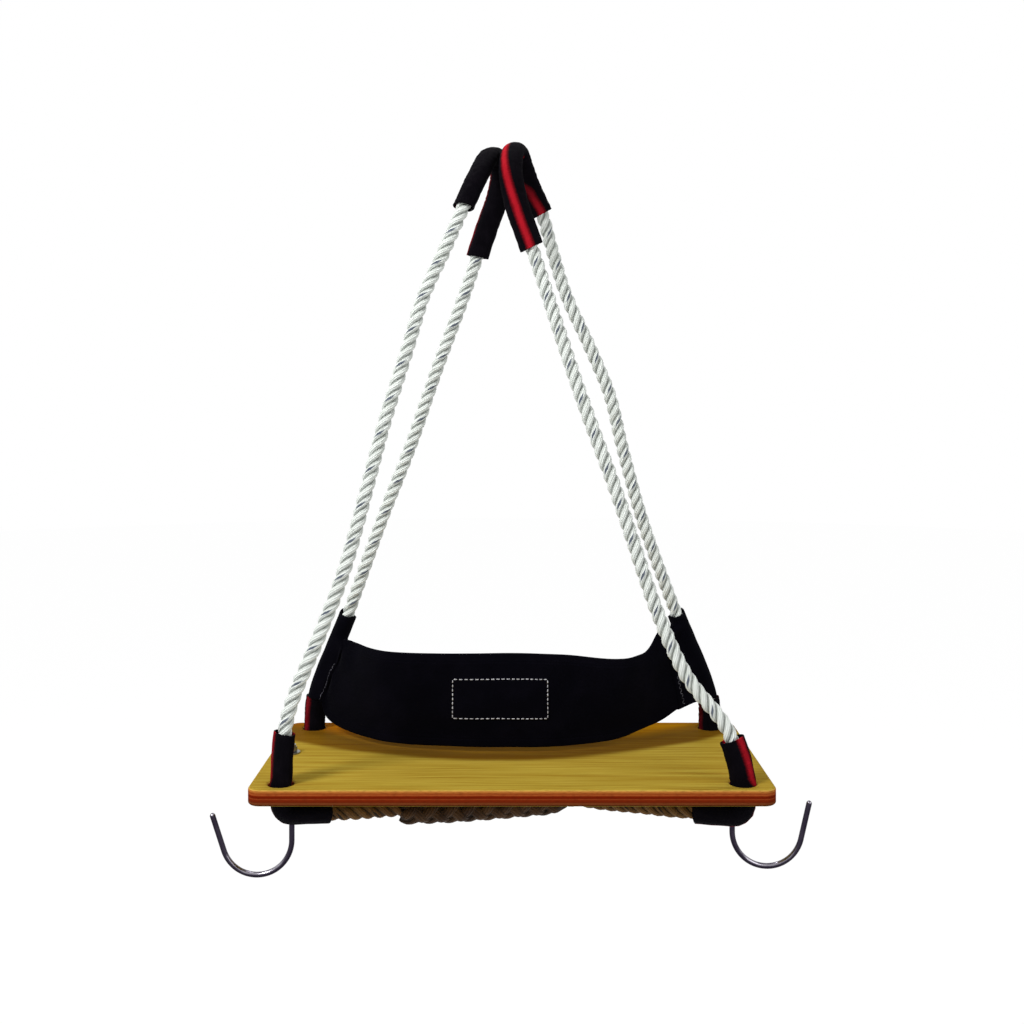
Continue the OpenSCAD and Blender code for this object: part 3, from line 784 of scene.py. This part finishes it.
def sleeve_ring(route, mark, inset):
    """A ring of the sleeve: creased at the folds, and puckered inside bends where it isn't drawn in."""
    centre, way, normal, across = route.frame(mark)
    bow = route.bow(mark) if inset == 0 else Vector()
    ring = []
    for x, y in circle(SLEEVE_SIDES):
        out = normal * x + across * y
        fold = SLEEVE_CREASE * max(0, abs(x) - CREASE_FROM) / (1 - CREASE_FROM)
        phase = TURN * mark / PUCKER_PITCH + PUCKER_SKEW * (3 * y - 4 * y ** 3)
        ripple = max(0, bow.dot(out)) * math.sin(phase) * PUCKER_RISE
        ripple = max(-PUCKER_MOST, min(PUCKER_MOST, ripple))
        ring.append(centre + normal * ((SLEEVE_WIDE - inset + fold) * x) + across * ((SLEEVE_DEEP - inset) * y)
                    + out * (ripple + SLEEVE_UNEVEN * uneven(*(out * 2.1 + way * mark * 75))))
    return ring


def add_sleeve(name, route, start, end, stripe_ways, dull, slants=((0, 0), (0, 0)), stripes=2):
    """A sleeve between two places on a route.

    stripe_ways gives the way that a stripe faces at shares of the length, dull how far its red is darkened there
    as painted shade, and slants how the ends are cut.
    """
    reach = end - start
    girth = math.pi * (SLEEVE_WIDE + SLEEVE_DEEP)
    stripe_turns = []
    for share, faces in stripe_ways:
        _, _, normal, across = route.frame(start + reach * share)
        turn = turn_in(Vector(faces), normal, across)
        if stripe_turns:
            turn += round((stripe_turns[-1][1] - turn) * stripes) / stripes
        stripe_turns.append((share, turn))

    def ring(share, inset):
        mark = start + reach * share
        shape = sleeve_ring(route, mark, inset)
        way = route.frame(mark)[1]
        for (lean_wide, lean_deep), from_end in zip(slants, (share * reach, (1 - share) * reach)):
            near = 1 - from_end / SLANT_REACH
            if near <= 0:
                continue
            for k, (x, y) in enumerate(circle(SLEEVE_SIDES)):
                fray = SLEEVE_FRAY * uneven(k * 1.7, share * 3 + 5, 2)
                shape[k] = shape[k] + way * (near * (lean_wide * x + lean_deep * y + fray))
        return shape

    count = round(reach / SLEEVE_STEP)
    middle = [(i + .5) / count * (1 - 2 * SLEEVE_RIM) + SLEEVE_RIM for i in range(count)]
    outside = [0, .0004, .0014] + middle + [.9986, .9996, 1]
    inside = spaced(1, 0, count // 3)
    rings = [ring(share, SLEEVE_LIPS.get(share, 0)) for share in outside]
    rings += [ring(share, SLEEVE_WALL) for share in inside]
    rings.append(rings[0])
    shares = outside + inside + [0]

    def place(row, column):
        turn, share = column / SLEEVE_SIDES, shares[row]
        off = (turn - between(stripe_turns, share)) % (1 / stripes)
        return (turn, start + reach * share), (min(off, 1 / stripes - off) * girth, between(dull, share))

    bm = new_mesh("webbing", "stripe")
    lay_rings(bm, rings, place)
    make_piece(name, bm, WEBBING, [name.replace("_webbing", "")])


# The dull values paint shade onto each sleeve's red stripe
add_sleeve("bight_sleeve_left_webbing", left_route, left_route.rising(BIGHT_SHORT_END),
           left_route.falling(BIGHT_LONG_END), [(.95, (-1, .08, -.3))], [(0, .8), (1, .6)],
           ((.002, 0), (-.0015, 0)), 1)
add_sleeve("bight_sleeve_right_webbing", right_route, right_route.rising(BIGHT_LONG_END),
           right_route.falling(BIGHT_SHORT_END),
           [(.2, (-.25, -1, .2)), (.6, (-.52, .05, .8)), (.74, (.9, .2, .2)), (.87, (.3, .95, 0)),
            (1, (.12, 1, 0))], [(.55, 0), (.68, 1), (.8, .8), (1, .2)], ((.001, .002), (-.0013, 0)))
add_sleeve("hole_sleeve_front_left_webbing", left_route, SLEEVE_FOOT, left_route.rising(FRONT_LEFT_TOP),
           [(.3, (0, .1, -1)), (.55, (-.97, .1, 0)), (.68, (-.94, -.34, 0)), (1, (-.94, -.34, 0))],
           [(0, .7), (1, .4)])
add_sleeve("hole_sleeve_front_right_webbing", right_route, SLEEVE_FOOT, right_route.rising(FRONT_RIGHT_TOP),
           [(.3, (0, .1, -1)), (.55, (.97, .1, 0)), (.68, (.66, -.75, 0)), (1, (.6, -.8, 0))], [(0, .1), (1, 0)])
for side, route, faces, dull in (("left", left_route, (-.78, -.62, 0), .6),
                                 ("right", right_route, (-.97, -.22, 0), .8)):
    add_sleeve(f"hole_sleeve_rear_{side}_webbing", route, route.falling(REAR_TOP), route.length - SLEEVE_FOOT,
               [(.2, faces)], [(0, dull)])


# Back strap: its edges run from pocket to pocket, and its cloth swells, rolls and wrinkles a little between them
def strap_end(route, height, near):
    centre, leg, _, _ = route.frame(route.falling(SEAT_TOP + height))
    way = near - centre
    out = Vector((way.x, way.y, 0)).normalized()
    return centre + out * ((POCKET_OUT + SEWN_GAP) / out.cross(leg).length)


def strap_edge(points, head_left, head_right):
    points = from_seat(points)
    left, right = strap_end(left_route, head_left, points[0]), strap_end(right_route, head_right, points[-1])
    return [left] + points + [right]


low_edge = strap_edge(STRAP_LOW, STRAP_FOOT, STRAP_FOOT)
high_edge = strap_edge(STRAP_HIGH, STRAP_HEAD_LEFT, STRAP_HEAD_RIGHT)


def along_edge(edge, share):
    place = clip(share) * (len(edge) - 1)
    i = min(int(place), len(edge) - 2)
    return curve_at(edge, i, place - i)


def between_edges(u, v):
    return along_edge(low_edge, u).lerp(along_edge(high_edge, u), v)


# Where the strap's edges hang below their plain lines: place along it, width there and how far
TOP_HANGS = (.795, .05, .0032), (.855, .036, .0055), (.93, .036, -.0065)
FOOT_HANGS = (.885, .05, .004),
# How the cloth pulls, hangs slack and rolls, over shares of its length and height
FACING_STEP, FADE, PULL_ROOT, PULL_FADE = .004, .05, .02, .1
PULL, SLACK, FINE_SLACK = .0016, .0026, .0011
TOP_ROLL, TOP_ROLL_TALL, FOOT_ROLL, FOOT_ROLL_TALL = -.0022, .14, .001, .12
# Its hems, their seams and its round edges, by the distance from an edge
HEM_HALF, HEM_STEP, HEM_TALL, HEM_EASE = .0019, .00045, .0105, .002
SEAM_SINK, SEAM_AT, SEAM_WIDE = .0004, .0095, .0009
EDGE_ROUND, EDGE_LEAST = .0016, .06


def strap_plain(u, v):
    """A place on the strap: between its edges, swelling to the front, hanging near the right pocket."""
    swell = STRAP_BELLY * math.sin(math.pi * clip(u)) * math.sin(math.pi * clip(v))
    hang = sum(smooth(v) * far * bell(u, at, wide) for at, wide, far in TOP_HANGS)
    hang += sum(smooth(1 - v) * far * bell(u, at, wide) for at, wide, far in FOOT_HANGS)
    return between_edges(u, v) - Vector((0, swell, hang))


def strap_front(u, v):
    du = strap_plain(min(u + FACING_STEP, 1), v) - strap_plain(max(u - FACING_STEP, 0), v)
    dv = strap_plain(u, 1) - strap_plain(u, 0)
    return du.cross(dv).normalized()


def strap_wave(u, v):
    """How far the cloth stands off its smooth shape: pulls from the seams, slack, and a rolled top edge."""
    fade = smooth(u / FADE) * smooth((1 - u) / FADE)
    pull_left = PULL * math.exp(-u / PULL_FADE) * math.sin(TURN * (v * 2.3 + u * 5))
    pull_right = PULL * math.exp(-(1 - u) / PULL_FADE) * math.sin(TURN * (v * 2.1 - (1 - u) * 5 + .3))
    slack = SLACK * uneven(u * 5.5, v * 1.3, 3.7) + FINE_SLACK * uneven(u * 17, v * 4.5, 8.1)
    roll = TOP_ROLL * smooth(1 - (1 - v) / TOP_ROLL_TALL) + FOOT_ROLL * smooth(1 - v / FOOT_ROLL_TALL)
    return fade * (slack + roll) + smooth(u / PULL_ROOT) * pull_left + smooth((1 - u) / PULL_ROOT) * pull_right


def strap_face(u, v, off):
    return strap_plain(u, v) + strap_front(u, v) * (off + strap_wave(u, v))


STRAP_STEPS, STRAP_ROWS, EDGE_STEPS = 170, 33, 200
STRAP_LONG = line_length([along_edge(low_edge, u) for u in spaced(0, 1, EDGE_STEPS)])


def strap_half(v):
    """Half the cloth's thickness: thicker in the folded hems, drawn in at their seams, round at the edges."""
    from_edge = min(v, 1 - v) * STRAP_TALL
    hem = HEM_HALF - HEM_STEP * smooth((from_edge - HEM_TALL) / HEM_EASE)
    seam = SEAM_SINK * bell(from_edge, SEAM_AT, SEAM_WIDE)
    rounded = 1 - max(0, 1 - from_edge / EDGE_ROUND) ** 2
    return (hem - seam) * math.sqrt(rounded * (1 - EDGE_LEAST) + EDGE_LEAST)


def add_cloth(name, node, columns, rows, face, wide, tall):
    """A closed sheet of canvas: face gives its place in front at 1 and behind at -1."""
    rings = [[face(u, v, 1) for v in rows] + [face(u, v, -1) for v in rows[::-1]] for u in columns]
    turns = rows + [2 - v for v in rows[::-1]] + [2]
    bm = new_mesh("cloth")
    lay_rings(bm, rings, lambda row, column: ((columns[row] * wide, turns[column] * tall),))
    return make_piece(name, bm, CANVAS, [node])


def add_strap():
    edge = [0, .0018, .005, .009, .014, .022, .034, .05, .066, .074, .08, .084, .088, .092, .097, .104, .112]
    rows = edge + spaced(.125, .875, STRAP_ROWS) + [1 - v for v in edge[::-1]]
    return add_cloth("back_strap_canvas", "back_strap", spaced(0, 1, STRAP_STEPS), rows,
                     lambda u, v, side: strap_face(u, v, side * strap_half(v)), STRAP_LONG, STRAP_TALL)


strap = add_strap()

# The patch stands on the strap's front, and its seam runs a little inside its rim
PATCH_FOOT, PATCH_BACK, PATCH_SEAM = .0016, .0013, .0016
PATCH_SINK, PATCH_RIM, PATCH_LEAST = .00045, .0009, .35


def patch_spot(u, v):
    """A place on the patch, from -1 to 1 each way, as a place on the strap."""
    tall = along_edge(high_edge, PATCH_AT).z - along_edge(low_edge, PATCH_AT).z
    half_u = PATCH_W / ((along_edge(low_edge, .75) - along_edge(low_edge, .25)).length * 2) / 2
    middle = (SEAT_TOP + PATCH_MID - along_edge(low_edge, PATCH_AT).z) / tall
    return PATCH_AT + u * half_u, middle + v * PATCH_H / tall / 2


def add_patch():
    columns = [-1, -.994, -.98, -.96] + spaced(-.94, .94, 30) + [.96, .98, .994, 1]
    rows = [-1, -.985, -.95, -.9] + spaced(-.86, .86, 14) + [.9, .95, .985, 1]

    def face(u, v, side):
        rim = min((1 - abs(u)) * PATCH_W / 2, (1 - abs(v)) * PATCH_H / 2)
        sewn = PATCH_SINK * bell(rim, PATCH_SEAM, SEAM_WIDE)
        stand = PATCH_FOOT + PATCH_T * (PATCH_LEAST + (1 - PATCH_LEAST) * smooth(rim / PATCH_RIM)) - sewn
        return strap_face(*patch_spot(u, v), stand if side > 0 else PATCH_BACK)

    return add_cloth("label_patch_canvas", "label_patch", columns, rows, face, PATCH_W / 2, PATCH_H / 2)


patch = add_patch()

# Stitches: their rings by share of the length, depth and size, the threads' radii and the stitches' lengths
PATCH_THREAD, SEAM_THREAD = .00058, .00038
STITCH_RINGS = (0, .9, .45), (.08, .25, .85), (.3, -.35, 1), (.7, -.35, 1), (.92, .25, .85), (1, .9, .45)
STITCH_SIDES, STITCH_FLAT, STITCH_GAP, STITCH_AT = 6, .8, .14, .72
LONG_STITCH, SHORT_STITCH = .0062, .0048


def add_stitch(bm, a, b, off, thick):
    """One stitch from a to b on a face that looks along off: out of the cloth, along it and in again."""
    way = (b - a).normalized()
    side = off.cross(way).normalized()
    rings = []
    for share, sink, size in STITCH_RINGS:
        centre = a + way * ((b - a).length * share) - off * (sink * thick)
        rings.append([centre + (off * x * STITCH_FLAT + side * y) * (thick * size)
                      for x, y in circle(STITCH_SIDES)])
    lay_rings(bm, rings, lambda row, column: ())


def add_patch_stitches():
    bm = new_mesh()
    u_rim, v_rim = 1 - PATCH_SEAM / (PATCH_W / 2), 1 - PATCH_SEAM / (PATCH_H / 2)
    corners = [(-u_rim, -v_rim), (u_rim, -v_rim), (u_rim, v_rim), (-u_rim, v_rim)]
    for (u0, v0), (u1, v1) in zip(corners, corners[1:] + corners[:1]):
        long = math.hypot((u1 - u0) * PATCH_W / 2, (v1 - v0) * PATCH_H / 2)
        count = round(long / (LONG_STITCH if v0 == v1 else SHORT_STITCH))
        off = strap_front(*patch_spot((u0 + u1) / 2, (v0 + v1) / 2))
        for i in range(count):
            ends = []
            for share in ((i + STITCH_GAP) / count, (i + 1 - STITCH_GAP) / count):
                spot = patch_spot(u0 + (u1 - u0) * share, v0 + (v1 - v0) * share)
                ends.append(strap_face(*spot, PATCH_FOOT + PATCH_T * STITCH_AT))
            add_stitch(bm, *ends, off, PATCH_THREAD)
    return make_piece("patch_stitching", bm, THREAD)


patch_stitches = add_patch_stitches()

# Pockets: canvas wrapped round the rear legs and sewn to both faces of the strap's ends
POCKET_SIDES, POCKET_RINGS, POCKET_INNER_RINGS = 44, 56, 12
POCKET_GIRTH, POCKET_LIP = .085, .012
FLAP_HALF, FLAP_ROOT, FLAP_NARROWS = .0031, .004, .0055
FLAP_FOOT_EASE, FLAP_TOP_OVER, FLAP_TOP_EASE = .006, .004, .014
POCKET_UNEVEN, LIP_SIDES, LIP_FRONT = .0004, .0035, .003
SEAM_SWING, SEAM_GAP, END_REACH = .0026, .1, .03
# Each end of the strap: the leg's route, the end's place along the strap, and its height at the leg
STRAP_ENDS = {"left": (left_route, 0, STRAP_HEAD_LEFT), "right": (right_route, 1, STRAP_HEAD_RIGHT)}


def up_strap(height, head):
    return (height - STRAP_FOOT) / (head - STRAP_FOOT)


def pocket_frame(mark, route, root, head):
    """Middle of the leg, its way, its height over the seat, and the ways into the strap and to its front."""
    centre, leg, _, _ = route.frame(mark)
    height = centre.z - SEAT_TOP
    share = clip(up_strap(height, head))
    near, far = between_edges(abs(root - END_REACH), share), between_edges(root, share)
    out = Vector((near.x - far.x, near.y - far.y, 0)).normalized()
    out = (out - out.dot(leg) * leg).normalized()
    front = out.cross(leg).normalized()
    return centre, leg, height, out, -front if front.y > 0 else front


def flap_lean(root, height, head, out, along):
    """How far a flap leaves its level line to lie on the strap, at a distance along it from the leg."""
    past = along - POCKET_OUT - SEWN_GAP
    if past <= 0:
        return Vector((0, 0, 0))
    share = up_strap(height, head)
    return strap_face(abs(root - past / STRAP_LONG), share, 0) - strap_plain(root, share) - out * past


def flap_half(along, size):
    """Half the thickness of the flaps and what lies between them, narrowing from the leg to the strap."""
    return FLAP_HALF + (size - FLAP_HALF) * math.exp(-max(0, along - FLAP_ROOT) / FLAP_NARROWS)


def pocket_ring(mark, end, flap_long, drop):
    """A ring of the pocket's outside: round on the leg, and drawn out into the flaps where the strap is."""
    centre, leg, height, out, front = pocket_frame(mark, *end)
    _, root, head = end
    flap = smooth((height - STRAP_FOOT + drop) / FLAP_FOOT_EASE)
    flap *= smooth((head + FLAP_TOP_OVER - height) / FLAP_TOP_EASE)
    lift = smooth((height - POCKET_FOOT - POCKET_LENGTH + POCKET_LIP) / POCKET_LIP)
    shape = []
    for x, y in circle(POCKET_SIDES):
        size = POCKET_OUT + POCKET_UNEVEN * uneven(x * 1.5, y * 1.5, mark * 60)
        along, off = size * x, size * y
        if x > 0:
            tongue = x ** 1.5
            along = along * (1 - flap) + flap * (flap_long * tongue + size * x * (1 - tongue))
            flat = math.copysign(min(abs(off), flap_half(along, size)), y) if x < .999 else 0
            off = off * (1 - flap) + flap * flat
        lip = lift * (LIP_SIDES * abs(x) ** 3 - LIP_FRONT * max(0, y) ** 2)
        lean = flap_lean(root, height, head, out, along) * flap
        shape.append(centre + out * along + front * off - leg * lip + lean)
    return shape


def pocket_inner_ring(mark, end):
    centre, _, _, out, front = pocket_frame(mark, *end)
    return [centre + (out * x + front * y) * POCKET_IN for x, y in circle(POCKET_SIDES)]


def add_pocket(side, flap_long, drop):
    """A pocket with flaps of a length, whose foot drops a little below the strap's."""
    end = STRAP_ENDS[side]
    top, foot = (end[0].falling(SEAT_TOP + height) for height in (POCKET_FOOT + POCKET_LENGTH, POCKET_FOOT))
    outside, inside = spaced(top, foot, POCKET_RINGS), spaced(foot, top, POCKET_INNER_RINGS)
    rings = [pocket_ring(mark, end, flap_long, drop) for mark in outside]
    rings += [pocket_inner_ring(mark, end) for mark in inside]
    rings.append(rings[0])
    marks = outside + inside + [top]
    bm = new_mesh("cloth")
    lay_rings(bm, rings, lambda row, column: ((column / POCKET_SIDES * POCKET_GIRTH, marks[row]),))
    return make_piece(f"strap_pocket_{side}_canvas", bm, CANVAS, [f"strap_pocket_{side}"])


pockets = add_pocket("left", flap_long=.032, drop=.003), add_pocket("right", flap_long=.049, drop=.004)


def add_seam(side, middle, count, low, high):
    """Zigzag seam in worn thread down a pocket's flap, at a distance from the leg's middle."""
    route, root, head = STRAP_ENDS[side]
    bm = new_mesh()
    spots = []
    for i in range(count + 1):
        mark = route.falling(SEAT_TOP + low + (high - low) * i / count)
        centre, _, height, out, front = pocket_frame(mark, route, root, head)
        along = middle + (SEAM_SWING if i % 2 else -SEAM_SWING)
        lean = flap_lean(root, height, head, out, along)
        spots.append((centre + out * along + front * flap_half(along, POCKET_OUT) + lean, front))
    for (a, off), (b, _) in zip(spots, spots[1:]):
        gap = (b - a) * SEAM_GAP
        add_stitch(bm, a + gap, b - gap, off, SEAM_THREAD)
    return make_piece(f"pocket_seam_{side}", bm, WORN_THREAD)


seams = (add_seam("left", middle=.023, count=13, low=.044, high=.09),
         add_seam("right", middle=.04, count=12, low=.047, high=.082))

# Finishes of the solid pieces, by a word in their names
FINISHES = {"seat_board": PLYWOOD, "hook": HOOK_STEEL, "nut": ZINC, "washer": ZINC}
for node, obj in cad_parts.items():
    for word, finish in FINISHES.items():
        if word in node:
            obj.data.materials.clear()
            obj.data.materials.append(finish)

# Floor, backdrop and light
FLOOR_Z, FLOOR_R, FLOOR_GLOW = -1.35, 9, 1.07
bm = new_mesh()
bmesh.ops.create_circle(bm, cap_ends=True, segments=96, radius=FLOOR_R)
bmesh.ops.translate(bm, verts=bm.verts, vec=(0, 0, FLOOR_Z))
floor_mesh = bpy.data.meshes.new("floor")
bm.to_mesh(floor_mesh)
bm.free()
floor = add_object("floor", floor_mesh)


def white_to_the_eye(nodes, plain, white, output, share):
    """Shows plain light to the object, and mostly white to the camera and reflections."""
    seen = nodes.node("LightPath", {}, "Is Camera Ray")
    for ray in ("Is Glossy Ray", "Is Transmission Ray"):
        seen = nodes.math("MAXIMUM", seen, nodes.node("LightPath", {}, ray))
    mixed = nodes.node("MixShader", {0: nodes.times(seen, share), 1: plain, 2: white})
    nodes.feed(nodes.tree.nodes[output].inputs[0], mixed)


WHITE = (1, 1, 1)
pale = Finish("pale_floor", Base_Color=(.86, .86, .86), Roughness=.9)
glow = pale.node("Emission", {0: WHITE, 1: FLOOR_GLOW})
white_to_the_eye(pale, pale.shader.outputs[0], glow, "Material Output", share=.9)
floor_mesh.materials.append(pale.material)

# The sky's light by its height, from straight down at 0 to straight up at 1
SKY = (.3, .2), (.5, .8), (.7, .34), (.95, .2)
scene.world = bpy.data.worlds.new("studio")
scene.world.use_nodes = True
sky = Nodes(scene.world.node_tree)
rise = sky.math("MULTIPLY_ADD", sky.parts(sky.place("Generated"))[2], .5, .5)
level = sky.ramp(rise, *((height, (value,) * 3) for height, value in SKY))
soft = sky.tree.nodes["Background"]
sky.feed(soft.inputs[0], WHITE)
sky.feed(soft.inputs[1], level)
clear = sky.node("Background", {0: WHITE, 1: 1})
white_to_the_eye(sky, soft.outputs[0], clear, "World Output", share=1)


def add_light(name, place, target, size, power):
    lamp = bpy.data.lights.new(name, "AREA")
    lamp.shape = "DISK"
    lamp.size = size
    lamp.energy = power
    stand = add_object(name, lamp)
    stand.location = place
    stand.rotation_euler = (Vector(target) - Vector(place)).to_track_quat("-Z", "Y").to_euler()


add_light("key_light", (-1.55, -1.3, 1.15), (0, 0, -.4), .8, 52)
add_light("fill_light", (1.7, -1.3, .5), (0, 0, -.4), 1.4, 14)
add_light("top_light", (-.1, .42, 1.05), (0, 0, -.5), .45, 10)
